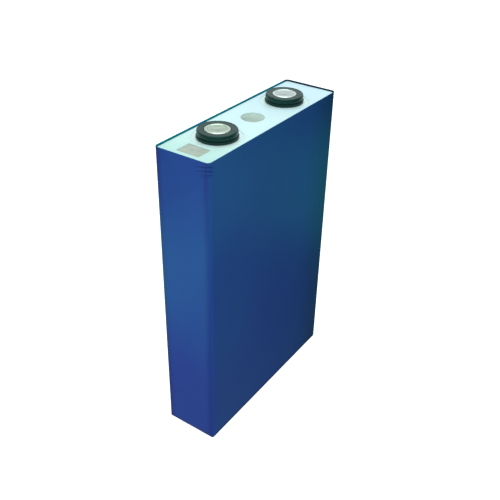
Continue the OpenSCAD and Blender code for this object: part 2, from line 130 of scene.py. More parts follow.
def rectangle_loop(centre, length, width, radius, arc_steps=8, run=2.5 * MM):
    """A rounded rectangle. Its straight sides are cut into pieces about one run long."""
    signs = ((1, 1), (-1, 1), (-1, -1), (1, -1))
    least_r = 0.02 * MM

    def loop(inset=0.0):
        half_l, half_w, r = length / 2 - inset, width / 2 - inset, max(radius - inset, least_r)
        middles = [(centre[0] + sx * (half_l - r), centre[1] + sy * (half_w - r)) for sx, sy in signs]
        corners = [arc(middle, r, 90 * k, 90 * k + 90, arc_steps) for k, middle in enumerate(middles)]
        points = []
        for k, corner in enumerate(corners):
            start, end = Vector(corner[-1]), Vector(corners[(k + 1) % 4][0])
            cuts = max(1, round((width if k % 2 else length) / run))
            points += corner + [tuple(start + (end - start) * i / cuts) for i in range(1, cuts)]
        return points
    return loop


def hole(loop):
    """The same loop as the edge of a hole, which an inset into the sheet makes larger."""
    return lambda inset=0.0: loop(-inset)


def is_inside(point, ring):
    """Whether a point lies inside a closed ring of points."""
    hit = False
    for (x1, y1), (x2, y2) in zip(ring, ring[1:] + ring[:1]):
        if (y1 > point.y) != (y2 > point.y) and point.x < (x2 - x1) * (point.y - y1) / (y2 - y1) + x1:
            hit = not hit
    return hit


def grid_points(rim, spacing):
    """A staggered grid over the rim's whole box, less the points that lie close to the rim."""
    least_gap = 0.45 * spacing
    xs, ys = zip(*rim)
    left, width, columns = min(xs), max(xs) - min(xs), int((max(xs) - min(xs)) / spacing)
    front, depth, rows = min(ys), max(ys) - min(ys), int((max(ys) - min(ys)) / spacing)
    points = []
    for i in range(1, columns):
        for j in range(1, rows):
            stagger = spacing / 4 if j % 2 else 0
            p = Vector((left + width * i / columns + stagger, front + depth * j / rows))
            if all((p - Vector(q)).length > least_gap for q in rim):
                points.append(tuple(p))
    return points


def flat_sheet(name, outline, holes, low, high, look, round_r=0.06 * MM, spacing=2.5 * MM, wave=0.0):
    """A thin sheet with rounded upper edges, evenly triangulated. Its outline and holes are loops."""
    loops = [outline, *holes]
    rings = [loop(round_r) for loop in loops]
    rim, edges = [], []
    for ring in rings:
        first = len(rim)
        rim += ring
        edges += [(first + i, first + (i + 1) % len(ring)) for i in range(len(ring))]
    given = [Vector(p) for p in rim + grid_points(rim, spacing)]
    flat, _, triangles, sources = geometry.delaunay_2d_cdt(given, edges, [], 0, 1e-9)[:4]
    found = {source: i for i, merged in enumerate(sources) for source in merged}

    def is_sheet(triangle):
        middle = sum((flat[i] for i in triangle), Vector((0, 0))) / 3
        return is_inside(middle, rings[0]) and not any(is_inside(middle, ring) for ring in rings[1:])

    def sag(p):
        """The waves of the sheet's top, none of them above its nominal height."""
        return min(0, wave * (noise.noise(Vector((p.x, p.y, 0)) * SHEET_WAVE_SCALE) - SHEET_WAVE_LEVEL))

    kept = [tuple(t) for t in triangles if is_sheet(t)]
    bottom = len(flat)
    faces = kept + [tuple(bottom + i for i in reversed(t)) for t in kept]
    points = [(p.x, p.y, high + sag(p)) for p in flat] + [(p.x, p.y, low) for p in flat]
    first = 0
    for loop, ring in zip(loops, rings):
        top_ids = [found[first + i] for i in range(len(ring))]
        first += len(ring)
        rows = [top_ids]
        for angle in (30, 60, 90):
            turn = math.radians(angle)
            drop = round_r * (1 - math.cos(turn))
            rows.append(range(len(points), len(points) + len(ring)))
            edge = loop(round_r * (1 - math.sin(turn)))
            points += [(x, y, points[i][2] - drop) for (x, y), i in zip(edge, top_ids)]
        rows.append(range(len(points), len(points) + len(ring)))
        points += [(x, y, low) for x, y in loop()]
        rows.append([bottom + i for i in top_ids])
        for upper, lower in zip(rows, rows[1:]):
            for i in range(len(ring)):
                j = (i + 1) % len(ring)
                quad = (upper[i], lower[i], lower[j], upper[j])
                faces.append(quad if loop is outline else tuple(reversed(quad)))
    return mesh_piece(name, points, faces, [look])


# ---------------------------------------------------------------- Material helper


class Look:
    """A Principled material whose patterns are worked out from the object's own coordinates."""

    def __init__(self, name, colour, roughness, metallic=0.0, specular=0.5, **more):
        self.material = bpy.data.materials.new(name)
        self.material.use_nodes = True
        self.tree = self.material.node_tree
        self.tree.nodes.clear()
        output = self.tree.nodes.new("ShaderNodeOutputMaterial")
        self.shader = self.tree.nodes.new("ShaderNodeBsdfPrincipled")
        self.tree.links.new(self.shader.outputs[0], output.inputs[0])
        self.shader.inputs["Base Color"].default_value = (*colour, 1)
        self.shader.inputs["Roughness"].default_value = roughness
        self.shader.inputs["Metallic"].default_value = metallic
        self.shader.inputs["Specular IOR Level"].default_value = specular
        for socket, value in more.items():
            self.shader.inputs[socket.replace("_", " ")].default_value = value
        self.place = self.tree.nodes.new("ShaderNodeTexCoord").outputs["Object"]

    def feed(self, socket, value):
        """A socket takes another node's output, a number or a colour."""
        if isinstance(value, bpy.types.NodeSocket):
            self.tree.links.new(value, socket)
        elif isinstance(value, tuple):
            socket.default_value = (*value, 1)
        elif value is not None:
            socket.default_value = value

    def stretched(self, scale):
        """The object's coordinates, stretched along its axes."""
        node = self.tree.nodes.new("ShaderNodeMapping")
        node.inputs["Scale"].default_value = scale
        self.tree.links.new(self.place, node.inputs["Vector"])
        return node.outputs[0]

    def noise(self, scale, detail=3.0, roughness=0.5, vector=None):
        """Noise from 0 to 1, with a scale in repeats per metre."""
        node = self.tree.nodes.new("ShaderNodeTexNoise")
        self.feed(node.inputs["Vector"], vector or self.place)
        node.inputs["Scale"].default_value = scale
        node.inputs["Detail"].default_value = detail
        node.inputs["Roughness"].default_value = roughness
        return node.outputs["Fac"]

    def rings(self, centre, scale):
        """Noise from 0 to 1 that changes only with the distance from a vertical axis."""
        away = self.tree.nodes.new("ShaderNodeVectorMath")
        away.operation = "SUBTRACT"
        self.tree.links.new(self.place, away.inputs[0])
        away.inputs[1].default_value = (centre.x, centre.y, 0)
        level = self.tree.nodes.new("ShaderNodeVectorMath")
        level.operation = "MULTIPLY"
        self.tree.links.new(away.outputs[0], level.inputs[0])
        level.inputs[1].default_value = (1, 1, 0)
        length = self.tree.nodes.new("ShaderNodeVectorMath")
        length.operation = "LENGTH"
        self.tree.links.new(level.outputs[0], length.inputs[0])
        node = self.tree.nodes.new("ShaderNodeTexNoise")
        node.noise_dimensions = "1D"
        node.inputs["Scale"].default_value = scale
        node.inputs["Detail"].default_value = 3
        self.tree.links.new(length.outputs["Value"], node.inputs["W"])
        return node.outputs["Fac"]

    def axis(self, name):
        """One of the object's coordinates."""
        node = self.tree.nodes.new("ShaderNodeSeparateXYZ")
        self.tree.links.new(self.place, node.inputs[0])
        return node.outputs[name]

    def calc(self, operation, a, b=None):
        """A calculation on one or two values."""
        node = self.tree.nodes.new("ShaderNodeMath")
        node.operation = operation
        self.feed(node.inputs[0], a)
        self.feed(node.inputs[1], b)
        return node.outputs[0]

    def off_middle(self, name):
        """The distance from the cell's middle along one axis."""
        return self.calc("ABSOLUTE", self.axis(name))

    def span(self, value, low, high, out_low=0.0, out_high=1.0):
        """A value's range from low to high, spread smoothly over another range."""
        node = self.tree.nodes.new("ShaderNodeMapRange")
        node.interpolation_type = "SMOOTHSTEP"
        self.feed(node.inputs["Value"], value)
        node.inputs["From Min"].default_value = low
        node.inputs["From Max"].default_value = high
        node.inputs["To Min"].default_value = out_low
        node.inputs["To Max"].default_value = out_high
        return node.outputs[0]

    def mixed(self, factor, a, b):
        """One colour turning into another."""
        node = self.tree.nodes.new("ShaderNodeMix")
        node.data_type = "RGBA"
        self.feed(node.inputs["Factor"], factor)
        self.feed(node.inputs[6], a)
        self.feed(node.inputs[7], b)
        return node.outputs[2]

    def bump(self, height, distance, strength=1.0, after=None):
        """A fine relief, put on top of another one."""
        node = self.tree.nodes.new("ShaderNodeBump")
        node.inputs["Strength"].default_value = strength
        node.inputs["Distance"].default_value = distance
        self.feed(node.inputs["Height"], height)
        self.feed(node.inputs["Normal"], after)
        return node.outputs[0]

    def colour(self, value):
        self.feed(self.shader.inputs["Base Color"], value)

    def roughness(self, value):
        self.feed(self.shader.inputs["Roughness"], value)

    def normal(self, value):
        self.feed(self.shader.inputs["Normal"], value)


def shaded(tint, share):
    """A darker or lighter tint."""
    return tuple(share * c for c in tint)


# ---------------------------------------------------------------- Materials

FILM_BLUES = ((0.007, 0.029, 0.160), (0.006, 0.038, 0.170), (0.008, 0.030, 0.178))
FILM_PAINTED_SHADE = (0.003, 0.024, 0.08)         # painted shade: a painted contact shadow at the film's foot, and painted shade towards its far end
FILM_EDGE_SHADE = (0.005, 0.022, 0.128)        # painted shade on its narrow sides, by the upright edges
# Painted shade in the creases at the wrap's top corners.
FILM_CREASE_SHADE = (0.002, 0.012, 0.10)

CREASE_PITCH = 2.3 * MM                  # short level creases, at the wrap's four top corners
CREASE_SAG = 20                          # how they sag away from the corner, per metre
CREASE_TURN = (90, 130)                  # radians per metre of a slow sideways shift
CREASE_SHIFT = -0.4 * MM
CREASE_LEVEL = -0.4                      # the film is creased where its wave is above this level
CREASE_REACH = (4 * MM, 11 * MM)         # they fade out between these distances from the corner,
CREASE_START = (0.6 * MM, 2 * MM)        # fade in between these distances under the free edge,
CREASE_END = (6 * MM, 9.5 * MM)          # and fade out between these
CREASE_BACK = 0.3                        # how strong they are at the back corners


def crease_mask(look):
    """1 on the creases at the wrap's top corners, where the film gets painted shade. It follows crease_at,
    which shapes the mesh.
    """
    calc = look.calc
    x, y, z = (look.axis(name) for name in "XYZ")
    reach = calc("ADD", calc("MULTIPLY", look.off_middle("X"), 2), look.off_middle("Y"))
    away = calc("SUBTRACT", 2 * HALF_L + HALF_T, reach)
    drop = calc("SUBTRACT", FILM_TOP, z)
    sag = calc("MULTIPLY", calc("MULTIPLY", away, away), CREASE_SAG)
    turn = calc("ADD", calc("MULTIPLY", x, CREASE_TURN[0]), calc("MULTIPLY", y, CREASE_TURN[1]))
    shift = calc("MULTIPLY", calc("SINE", turn), CREASE_SHIFT)
    level = calc("ADD", calc("SUBTRACT", drop, sag), shift)
    wave = calc("SINE", calc("MULTIPLY", level, math.tau / CREASE_PITCH))
    share = look.span(wave, CREASE_LEVEL, 1)
    for fade in (
        look.span(away, *CREASE_REACH, 1, 0),
        look.span(y, -HALF_T, HALF_T, 1, CREASE_BACK),
        look.span(drop, *CREASE_START),
        look.span(drop, *CREASE_END, 1, 0),
    ):
        share = calc("MULTIPLY", share, fade)
    return share


def film_look():
    """Glossy blue plastic film, drawn tight over metal, with faint smears and fine scratches, and painted
    shade at its foot, towards its far end, by its upright edges and in its creases.
    """
    look = Look("blue_film", FILM_BLUES[0], 0.25)
    tone = look.span(look.noise(9, 2), 0.35, 0.65)
    streak = look.span(look.noise(14, 2, vector=look.stretched((1, 1, 0.18))), 0.3, 0.7)
    base = look.mixed(streak, look.mixed(tone, *FILM_BLUES[:2]), FILM_BLUES[2])
    # Painted shade: a painted contact shadow at the foot, and painted shade towards the far end.
    foot = look.span(look.axis("Z"), 0.6 * MM, 3 * MM, 0.8, 0)
    far_end_shade = look.span(look.axis("X"), HALF_L / 2, HALF_L, 0, 0.7)
    base = look.mixed(look.calc("MAXIMUM", foot, far_end_shade), base, FILM_PAINTED_SHADE)
    # Painted shade on the narrow sides, near the upright edges.
    narrow_side = look.span(look.off_middle("X"), HALF_L - 1.5 * MM, HALF_L - 0.2 * MM)
    by_edge = look.span(look.off_middle("Y"), HALF_T - 6 * MM, HALF_T - 1.5 * MM)
    base = look.mixed(look.calc("MULTIPLY", narrow_side, by_edge), base, FILM_EDGE_SHADE)
    # Painted shade in the creases.
    look.colour(look.mixed(crease_mask(look), base, FILM_CREASE_SHADE))
    smear = look.span(look.noise(30, 2, 0.5), 0.4, 0.75, 0.0, 0.05)
    scratch = look.noise(420, 2, vector=look.stretched((1, 1, 0.03)))
    fine = look.span(scratch, 0.64, 0.74, 0.0, 0.04)
    look.roughness(look.calc("ADD", look.calc("ADD", smear, fine), 0.17))
    wavy = look.bump(look.noise(28, 2, 0.4), 0.5 * MM, 0.2)
    look.normal(look.bump(look.noise(900, 2), 0.01 * MM, 0.1, wavy))
    return look.material


def film_edge_look():
    """The film's cut edge and the inside of its lip, with a painted glow that stands for light coming
    through it, and painted shade at its far end.
    """
    lit = ((0.0, 0.25, 0.44), (0.0, 0.28, 0.34))
    unlit = ((0.0, 0.03, 0.07), (0.0, 0.045, 0.09))
    look = Look("film_edge", lit[0], 0.45, specular=0.05)
    tone = look.span(look.noise(60, 3), 0.35, 0.65)
    far_end_shade = look.span(look.axis("X"), HALF_L - 5 * MM, HALF_L - 1 * MM)
    # lit is painted light coming through the film; unlit, towards the far end, is painted shade.
    look.colour(look.mixed(far_end_shade, look.mixed(tone, *lit), look.mixed(tone, *unlit)))
    look.roughness(look.span(look.noise(200, 2), 0.3, 0.7, 0.4, 0.55))
    return look.material


def sheet_look():
    """Pale sheet with a fine matt grain, slightly greener at one end and bluer at the other."""
    green, blue = (0.65, 0.86, 0.82), (0.60, 0.76, 0.83)
    light_green, light_blue = (0.67, 0.88, 0.85), (0.62, 0.79, 0.86)
    dull_green = (0.51, 0.76, 0.70)
    look = Look("pale_sheet", green, 0.4, specular=0.4)
    end = look.span(look.axis("X"), -HALF_L, HALF_L)
    tone = look.span(look.noise(30, 3), 0.3, 0.7)
    base = look.mixed(tone, look.mixed(end, green, blue), look.mixed(end, light_green, light_blue))
    near_end = look.span(look.axis("X"), -HALF_L, -30 * MM, 1, 0)
    look.colour(look.mixed(near_end, base, dull_green))
    look.roughness(look.span(look.noise(120, 4), 0.3, 0.7, 0.32, 0.48))
    soft = look.bump(look.noise(70, 2), 0.2 * MM, 0.15)
    look.normal(look.bump(look.noise(2500, 2), 0.02 * MM, 0.3, soft))
    return look.material


def label_look():
    """Plain etched patch, where the real cell carries a printed code."""
    dark, light = (0.37, 0.41, 0.35), (0.45, 0.50, 0.42)
    look = Look("code_patch", dark, 0.5, specular=0.35)
    look.colour(look.mixed(look.span(look.noise(350, 4, 0.6), 0.35, 0.65), dark, light))
    look.roughness(look.span(look.noise(500, 3), 0.3, 0.7, 0.42, 0.6))
    look.normal(look.bump(look.noise(3000, 2), 0.02 * MM, 0.4))
    return look.material


def vent_film_look():
    """Milky film that shows what lies under it, darker at its -X side and lighter at its +X side: painted
    shade and painted light.
    """
    colour = (0.47, 0.60, 0.52)
    look = Look("vent_film_look", colour, 0.2, Alpha=0.8)
    tone = look.span(look.noise(160, 4, 0.6), 0.3, 0.7)
    # Painted shade towards -X and painted light towards +X.
    side = look.span(look.axis("X"), -VENT_HIGH.x, VENT_HIGH.x)
    dark = look.mixed(side, shaded(colour, 0.68), shaded(colour, 1.0))
    light = look.mixed(side, shaded(colour, 0.80), shaded(colour, 1.16))
    look.colour(look.mixed(tone, dark, light))
    look.roughness(look.span(look.noise(300, 3), 0.3, 0.7, 0.15, 0.32))
    look.normal(look.bump(look.noise(120, 3), 0.1 * MM, 0.3))
    return look.material


def collar_look():
    """Black moulded plastic with a fine grain and pale rubbed spots."""
    black, rubbed = (0.002, 0.018, 0.015), (0.02, 0.05, 0.045)
    look = Look("black_moulding", black, 0.3, specular=0.4, Specular_Tint=(0.5, 1, 0.9, 1))
    dust = look.span(look.noise(160, 4, 0.6), 0.55, 0.85, 0.0, 0.2)
    look.colour(look.mixed(dust, black, rubbed))
    look.roughness(look.span(look.noise(260, 4, 0.6), 0.3, 0.7, 0.24, 0.36))
    look.normal(look.bump(look.noise(3500, 2), 0.02 * MM, 0.25))
    return look.material


def turned_metal(name, centre, tint, roughness, ring_scale):
    """Aluminium turned on a lathe: fine rings round its own axis, with handling marks."""
    look = Look(name, tint, roughness, metallic=1.0, Anisotropic=0.55)
    rings = look.rings(centre, ring_scale)
    bright = look.mixed(look.span(rings, 0.3, 0.7), shaded(tint, 0.86), tint)
    stain = look.span(look.noise(330, 4, 0.6), 0.4, 0.75)
    look.colour(look.mixed(stain, bright, shaded(tint, 0.78)))
    marks = look.span(look.noise(700, 3), 0.5, 0.75, 0.0, 0.14)
    look.roughness(look.calc("ADD", marks, roughness))
    look.normal(look.bump(rings, 0.02 * MM, 0.35))
    tangent = look.tree.nodes.new("ShaderNodeTangent")
    tangent.direction_type = "RADIAL"
    tangent.axis = "Z"
    look.tree.links.new(tangent.outputs[0], look.shader.inputs["Tangent"])
    return look.material


def cover_look():
    """The cover plate: satin aluminium, with a darker band at its rim where it is welded to the can: partly
    the welded seam's own colour, partly painted shade and a painted reflection of the blue film.
    """
    satin, weld_shade_and_reflection = (0.76, 0.90, 0.88), (0.02, 0.10, 0.13)
    look = Look("cover_aluminium", satin, 0.5, metallic=0.3)
    grain = look.noise(60, 4, 0.6, vector=look.stretched((1, 30, 30)))
    shade = look.mixed(look.span(grain, 0.3, 0.7), (0.71, 0.85, 0.83), satin)
    rims = [look.span(look.off_middle(name), half - 1.5 * MM, half - 1.1 * MM)
            for name, half in (("X", HALF_L), ("Y", HALF_T))]
    # The rim band is partly the welded seam's colour, partly painted shade and a painted reflection of the
    # blue film.
    look.colour(look.mixed(look.calc("MAXIMUM", *rims), shade, weld_shade_and_reflection))
    look.roughness(look.span(grain, 0.3, 0.7, 0.44, 0.6))
    look.normal(look.bump(grain, 0.01 * MM, 0.3))
    return look.material


def rolled_metal(name, tint, roughness, dark=0.85):
    """Rolled or drawn metal, with a grain along X and cloudy patches."""
    look = Look(name, tint, roughness, metallic=1.0)
    grain = look.noise(60, 4, 0.6, vector=look.stretched((1, 30, 30)))
    cloud = look.noise(45, 4)
    shade = look.mixed(look.span(grain, 0.3, 0.7), shaded(tint, dark), tint)
    look.colour(look.mixed(look.span(cloud, 0.35, 0.8, 0.0, 0.5), shade, shaded(tint, 0.8)))
    both = look.calc("ADD", grain, cloud)
    look.roughness(look.span(both, 0.7, 1.3, roughness - 0.06, roughness + 0.12))
    look.normal(look.bump(grain, 0.01 * MM, 0.3))
    return look.material


def moulded_look(name, colour, roughness=0.45, dark=0.8, scale=140, specular=0.5):
    """Plain plastic, rubber or coating, with soft mottling and a fine grain."""
    look = Look(name, colour, roughness, specular=specular)
    look.colour(look.mixed(look.span(look.noise(scale, 4, 0.6), 0.3, 0.7), shaded(colour, dark), colour))
    look.roughness(look.span(look.noise(2 * scale, 3), 0.3, 0.7, roughness - 0.07, roughness + 0.1))
    look.normal(look.bump(look.noise(20 * scale, 2), 0.02 * MM, 0.3))
    return look.material


# ---------------------------------------------------------------- Blue wrap

SEAM_Y = 5 * MM                      # free edge of the wrap's overlap, on the far narrow side
SEAM_STEP = 0.03 * MM                # the film drops by the seam's depth within this distance
SEAM_DEPTH = 0.06 * MM
SEAM_FADE = 8 * MM
WRAP_OVERLAP = 3 * MM                # how far the front flap crosses the middle of the base
END_FLAP_EXTRA = 6 * MM              # how far the end flaps reach past half the cell's thickness
FLAP_SLOPE = 0.05 * MM               # sloping edge of a flap
WAVE_DEPTH = 0.05 * MM               # slow waves of the stretched film
WAVE_SCALE = 24                      # in repeats per metre
WAVE_CORNER = (CORNER_R, 9 * MM)     # they fade out towards the upright corners,
WAVE_FOOT = (2 * MM, 10 * MM)        # towards the foot,
WAVE_EDGE = (0, 6 * MM)              # and towards the free edge
CREASE_DEPTH = 0.09 * MM
LEAST_COVER = 0.03 * MM              # film left over the can at its deepest places
LIP_UNEVEN = 0.10 * MM               # the free edge is cut a little unevenly
LIP_SCALE = 60
LIP_BEND = 0.05 * MM                 # the outer face ends this far under the free edge
LIP_HIDDEN = 1.5 * MM                # how far the lip's inside goes down beside the can
FINE_ZONE = 12 * MM                  # the mesh is finer this near the corners and the top


def smooth(value, low, high):
    """0 below low and 1 above high, with a smooth turn between them."""
    t = min(1, max(0, (value - low) / (high - low)))
    return t * t * (3 - 2 * t)


def ticks(length):
    """Places along a straight run: close together near its two ends, where the film is creased."""
    fine, coarse = 1 * MM, 4 * MM
    zone = min(length / 2, 1.2 * FINE_ZONE)
    fine_count = round(zone / fine)
    first = [zone * i / fine_count for i in range(fine_count)]
    last = [length - t for t in reversed(first)]
    between = length - 2 * zone
    if between <= 0:
        return first + [zone] + last
    coarse_count = max(1, round(between / coarse))
    return first + [zone + between * i / coarse_count for i in range(coarse_count)] + last


def wrap_path():
    """Points round the wrap: place, outward direction, layers of film under its foot, and seam depth."""
    path = []
    r, arc_steps = CORNER_R, 8
    corner_x, corner_y = HALF_L - r, HALF_T - r
    sides = (
        (Vector((HALF_L, -corner_y)), Vector((HALF_L, corner_y)), Vector((1, 0)), 2),
        (Vector((corner_x, HALF_T)), Vector((-corner_x, HALF_T)), Vector((0, 1)), 1),
        (Vector((-HALF_L, corner_y)), Vector((-HALF_L, -corner_y)), Vector((-1, 0)), 2),
        (Vector((-corner_x, -HALF_T)), Vector((corner_x, -HALF_T)), Vector((0, -1)), 0),
    )
    for k, (start, end, out, level) in enumerate(sides):
        length = (end - start).length
        along = (end - start) / length
        places = [start + along * t for t in ticks(length)]
        for i, place in enumerate(places):
            under = 0.0
            if k == 0 and place.y > SEAM_Y:
                if places[i - 1].y <= SEAM_Y:
                    path.append((Vector((HALF_L, SEAM_Y)), out, level, 0.0))
                    path.append((Vector((HALF_L, SEAM_Y + SEAM_STEP)), out, level, SEAM_DEPTH))
                under = SEAM_DEPTH * (1 - smooth(place.y, SEAM_Y, SEAM_Y + SEAM_FADE))
            path.append((place, out, level, under))
        next_level = sides[(k + 1) % 4][3]
        centre = end - out * r
        for i in range(1, arc_steps):
            turn = math.atan2(out.y, out.x) + math.pi / 2 * i / arc_steps
            away = Vector((math.cos(turn), math.sin(turn)))
            share = smooth(i / arc_steps, 0, 1)
            path.append((centre + away * r, away, level + (next_level - level) * share, 0.0))
    return path


def crease_at(x, y, z):
    """How creased the film is, 0 to 1. The creases reach half as far on the wide sides as on the others."""
    away = 2 * (HALF_L - abs(x)) + HALF_T - abs(y)
    drop = FILM_TOP - z
    shift = CREASE_SHIFT * math.sin(CREASE_TURN[0] * x + CREASE_TURN[1] * y)
    wave = math.sin(math.tau * (drop - CREASE_SAG * away * away + shift) / CREASE_PITCH)
    share = smooth(wave, CREASE_LEVEL, 1) * (1 - smooth(away, *CREASE_REACH))
    share *= 1 - (1 - CREASE_BACK) * smooth(y, -HALF_T, HALF_T)
    return share * smooth(drop, *CREASE_START) * (1 - smooth(drop, *CREASE_END))


def film_dent(place, z):
    """How far the film lies under its nominal surface: soft waves, and creases at the top corners."""
    away = HALF_L + HALF_T - abs(place.x) - abs(place.y)
    fade = smooth(away, *WAVE_CORNER) * smooth(z, *WAVE_FOOT) * smooth(FILM_TOP - z, *WAVE_EDGE)
    wave = WAVE_DEPTH * fade * (0.5 + 0.5 * noise.noise(Vector((place.x, place.y, z)) * WAVE_SCALE))
    return wave + CREASE_DEPTH * crease_at(place.x, place.y, z)


def film_heights():
    """Heights of the wrap's rows, from the bend at its foot up to its free edge."""
    fine_from = FILM_TOP - FINE_ZONE
    rows, fine_rows = 42, 36
    top = FILM_TOP - LIP_BEND
    heights = [FOOT_R + (fine_from - FOOT_R) * i / rows for i in range(rows)]
    return heights + [fine_from + (top - fine_from) * i / fine_rows for i in range(fine_rows + 1)]


def lip_top(place):
    """The free edge's own height."""
    return FILM_TOP - LIP_UNEVEN * (0.5 + 0.5 * noise.noise(Vector((place.x, place.y, 0)) * LIP_SCALE))


def wrap_rows(path):
    """The wrap's points in rows, from its foot up and over its free edge, and how many rows face out."""
    points, rows = [], []

    def add_row(depth_of, height_of, inset=0.0):
        """At the foot, the inset draws in the sides, so that the corner turns square there."""
        rows.append(len(points))
        half_l, half_t = HALF_L - inset, HALF_T - inset
        for place, out, level, under in path:
            z = height_of(place, level)
            drawn = Vector((max(-half_l, min(half_l, place.x)), max(-half_t, min(half_t, place.y))))
            p = drawn - out * depth_of(place, z, under)
            points.append((p.x, p.y, z))

    bend_steps = 5
    for i in range(bend_steps, 0, -1):
        turn = math.pi / 2 * i / bend_steps
        add_row(
            lambda place, z, under: under * math.cos(turn),
            lambda place, level: FOOT_R - (FOOT_R - level * FILM_LAYER) * math.sin(turn),
            FOOT_R * (1 - math.cos(turn)),
        )
    for height in film_heights():
        add_row(
            lambda place, z, under: min(film_dent(place, z) + under, FILM_T - LEAST_COVER),
            lambda place, level: min(height, lip_top(place) - LIP_BEND),
        )
    outer_rows = len(rows)
    soft, softer = 0.02 * MM, 0.06 * MM
    for depth, drop in ((soft, soft), (softer, 0), (FILM_T - soft, soft), (FILM_T, softer)):
        add_row(lambda place, z, under: depth + under, lambda place, level: lip_top(place) - drop)
    add_row(lambda place, z, under: FILM_T + under / 2, lambda place, level: COVER_Z + 0.1 * MM)
    add_row(lambda place, z, under: FILM_T, lambda place, level: COVER_Z - LIP_HIDDEN)
    return points, rows, outer_rows


def add_flap(points, faces, outline, low, high):
    """A flat folded flap of film under the cell, as a thin closed plate with sloping edges."""
    middle = sum((Vector(p) for p in outline), Vector((0, 0))) / len(outline)
    first, n = len(points), len(outline)
    for height, shrink in ((high, 0), (low + FLAP_SLOPE, 0), (low, FLAP_SLOPE)):
        for corner in outline:
            place = Vector(corner)
            points.append((*(place - (place - middle).normalized() * shrink), height))
    faces.append(tuple(first + i for i in range(n)))
    faces.append(tuple(first + 2 * n + i for i in reversed(range(n))))
    for row in (first, first + n):
        for i in range(n):
            j = (i + 1) % n
            faces.append((row + j, row + i, row + n + i, row + n + j))


def add_flaps(points, faces):
    """The film is folded under the cell like a parcel: first the ends, then the back, then the front."""
    in_l, in_t = HALF_L - FOOT_R, HALF_T - FOOT_R
    for side in (-1, 1):
        edge, reach = side * in_l, side * (in_l - in_t - END_FLAP_EXTRA)
        end = [(edge, -side * in_t), (edge, side * in_t), (reach, side * in_t), (reach, -side * in_t)]
        add_flap(points, faces, end, 2 * FILM_LAYER, 3 * FILM_LAYER)
    width = in_t + WRAP_OVERLAP
    front = [(-in_l, -in_t), (in_l, -in_t), (in_l - width, width - in_t), (width - in_l, width - in_t)]
    back = [(-x, -y) for x, y in front]
    add_flap(points, faces, back, FILM_LAYER, 2 * FILM_LAYER)
    add_flap(points, faces, front, 0, FILM_LAYER)


def make_wrap():
    path = wrap_path()
    points, rows, outer_rows = wrap_rows(path)
    outside, edge = 0, 1
    faces, face_looks = [], []
    for k, (low, high) in enumerate(zip(rows, rows[1:])):
        for i in range(len(path)):
            j = (i + 1) % len(path)
            faces.append((low + i, low + j, high + j, high + i))
            face_looks.append(outside if k < outer_rows - 1 else edge)
    add_flaps(points, faces)
    face_looks += [outside] * (len(faces) - len(face_looks))
    looks = [film_look(), film_edge_look()]
    stand_for(mesh_piece("blue_wrap", points, faces, looks, 40, face_looks), "wrap", "wrap_film")


# ---------------------------------------------------------------- Sheet, code patch and vent

POLE_X = (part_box("negative_collar")[0].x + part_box("negative_collar")[1].x) / 2
CUT_GAP = 0.15 * MM              # between the sheet and what lies in its openings
COLLAR_HOLE_R = 14.4 * MM
LABEL_MIDDLE = ((LABEL_LOW.x + LABEL_HIGH.x) / 2, (LABEL_LOW.y + LABEL_HIGH.y) / 2)
LABEL_L = LABEL_HIGH.x - LABEL_LOW.x
LABEL_W = LABEL_HIGH.y - LABEL_LOW.y
WINDOW_R = 0.8 * MM
SMALL_ARC_STEPS = 5
VENT_STEPS = 72


def make_top_sheet():
    outline = rectangle_loop((0, 0), 2 * SHEET_HIGH.x, 2 * SHEET_HIGH.y, CORNER_R - (HALF_L - SHEET_HIGH.x))
    window = rectangle_loop(LABEL_MIDDLE, LABEL_L + 2 * CUT_GAP, LABEL_W + 2 * CUT_GAP, WINDOW_R,
                            SMALL_ARC_STEPS)
    openings = [circle_loop((side * POLE_X, 0), COLLAR_HOLE_R) for side in (-1, 1)]
    openings += [circle_loop((0, 0), VENT_HIGH.x + CUT_GAP, VENT_STEPS), window]
    holes = [hole(loop) for loop in openings]
    piece = flat_sheet("top_sheet_cut", outline, holes, SHEET_LOW.z, SHEET_HIGH.z, sheet_look(),
                       wave=0.03 * MM)
    stand_for(piece, "top_sheet", "top_sheet")


def make_code_patch():
    outline = rectangle_loop(LABEL_MIDDLE, LABEL_L, LABEL_W, WINDOW_R - CUT_GAP, SMALL_ARC_STEPS)
    piece = flat_sheet("code_patch_plate", outline, [], LABEL_LOW.z, LABEL_HIGH.z, label_look(),
                       round_r=0.03 * MM, spacing=1.5 * MM)
    stand_for(piece, "code_label", "code_label")


def make_vent_film():
    outline = circle_loop((0, 0), VENT_HIGH.x, VENT_STEPS)
    piece = flat_sheet("vent_cover_film", outline, [], VENT_LOW.z, VENT_HIGH.z, vent_film_look(),
                       round_r=0.03 * MM, spacing=1.2 * MM, wave=0.02 * MM)
    stand_for(piece, "vent_film", "vent_film")


# ---------------------------------------------------------------- Terminals

COLLAR_FOOT_R = 11.9 * MM
COLLAR_R = 11.45 * MM
COLLAR_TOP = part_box("positive_collar")[1].z
FOOT_TOP = COVER_Z + 1.5 * MM    # the collar's wide foot
NECK_TOP = COVER_Z + 2.1 * MM    # the narrow neck over it
NECK_R = COLLAR_R - 0.4 * MM
PAD_R = 7.25 * MM
PAD_LOW, PAD_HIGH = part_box("positive_pad")
PAD_TOP = PAD_HIGH.z
FLANGE_R = PAD_HIGH.x + POLE_X   # the pad's flange, held inside the collar
FLANGE_LOW = PAD_LOW.z
FLANGE_HIGH = FLANGE_LOW + 2 * MM
SEAL_R = 5.5 * MM
SHANK_R = 4 * MM
RIVET_R = 5.4 * MM
SEAT_Z = PAD_TOP - 1.2 * MM      # the riveted head's seat in its pad
SOFT = 0.1 * MM                  # small broken edges
TERMINALS = {
    "positive": (Vector((-POLE_X, 0, 0)), (0.62, 0.70, 0.58)),
    "negative": (Vector((POLE_X, 0, 0)), (0.73, 0.78, 0.76)),
}


